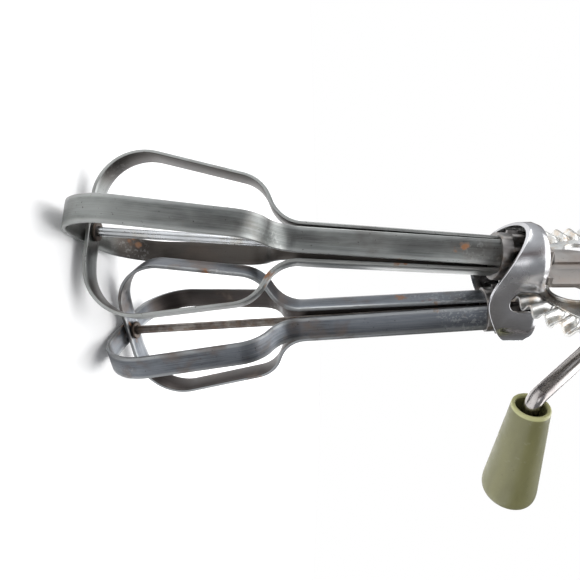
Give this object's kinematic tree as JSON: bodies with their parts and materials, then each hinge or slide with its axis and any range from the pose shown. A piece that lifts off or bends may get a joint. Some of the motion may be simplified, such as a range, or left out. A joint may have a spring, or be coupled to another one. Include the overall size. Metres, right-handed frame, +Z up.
{
  "type": "rotary egg beater",
  "caption": "Hand-cranked rotary egg beater: a geared wheel spins two counter-rotating strip-metal beaters below an in-line moulded handle.",
  "frame": {"origin": "centre of the hang hole through the top of the handle", "axes": "+Z up from the blade tips to the handle; Y along the wheel's axle and the hang hole, with the crank on the -Y side and the frame plate on the +Y side; X across the wheel's face"},
  "size_m": [0.0636, 0.0917, 0.2825],
  "materials": {
    "olive_plastic": "moulded olive green plastic, satin gloss, scuffed",
    "blade_steel": "worn rolled stainless strip with fine lengthwise lines, tarnish and a few rust spots",
    "polished_steel": "drawn and polished stainless steel with soft wear",
    "tinned_steel": "bright tinned sheet, mottled grey and beige",
    "plain_steel": "turned or drawn steel, dull grey",
    "rod_steel": "drawn wire, partly browned",
    "brown_metal": "dark brown oxidised collar"
  },
  "bodies": {
    "frame": {"frame_plate": "polished_steel", "gear_shroud": "polished_steel", "handle": "olive_plastic", "ferrule": "polished_steel", "handle_pin": "plain_steel", "frame_rivets": "plain_steel", "axle_bush": "plain_steel", "centre_rod_a": "rod_steel", "centre_rod_b": "rod_steel", "tip_collar_a": "brown_metal", "tip_collar_b": "brown_metal", "pinion_washer_a": "plain_steel", "pinion_washer_b": "plain_steel"},
    "crank_wheel": {"drive_wheel": "tinned_steel", "wheel_hub": "plain_steel", "crank_rod": "polished_steel", "axle_washer": "plain_steel", "knob_washer": "plain_steel"},
    "crank_knob": {"knob": "olive_plastic"},
    "beater_a": {"outer_blade_loop_a": "blade_steel", "inner_blade_loop_a": "blade_steel", "pinion_a": "plain_steel"},
    "beater_b": {"outer_blade_loop_b": "blade_steel", "inner_blade_loop_b": "blade_steel", "pinion_b": "plain_steel"}
  },
  "joints": [
    {"name": "crank_turn", "type": "hinge", "parent": "frame", "child": "crank_wheel", "pos_m": [0, 0, -0.1356], "axis": [0, 1, 0], "continuous": true},
    {"name": "knob_spin", "type": "hinge", "parent": "crank_wheel", "child": "crank_knob", "pos_m": [-0.01829, -0.035, -0.16124], "axis": [0, 1, 0], "continuous": true},
    {"name": "beater_a_spin", "type": "hinge", "parent": "frame", "child": "beater_a", "pos_m": [-0.003, 0.0176, -0.272], "axis": [0.0286, -0.0949, 0.9951], "continuous": true},
    {"name": "beater_b_spin", "type": "hinge", "parent": "frame", "child": "beater_b", "pos_m": [0.003, -0.0176, -0.272], "axis": [-0.0286, 0.0949, 0.9951], "continuous": true}
  ],
  "couplings": [
    {"joint": "beater_a_spin", "follows": "crank_turn", "ratio": -5},
    {"joint": "beater_b_spin", "follows": "crank_turn", "ratio": 5}
  ]
}
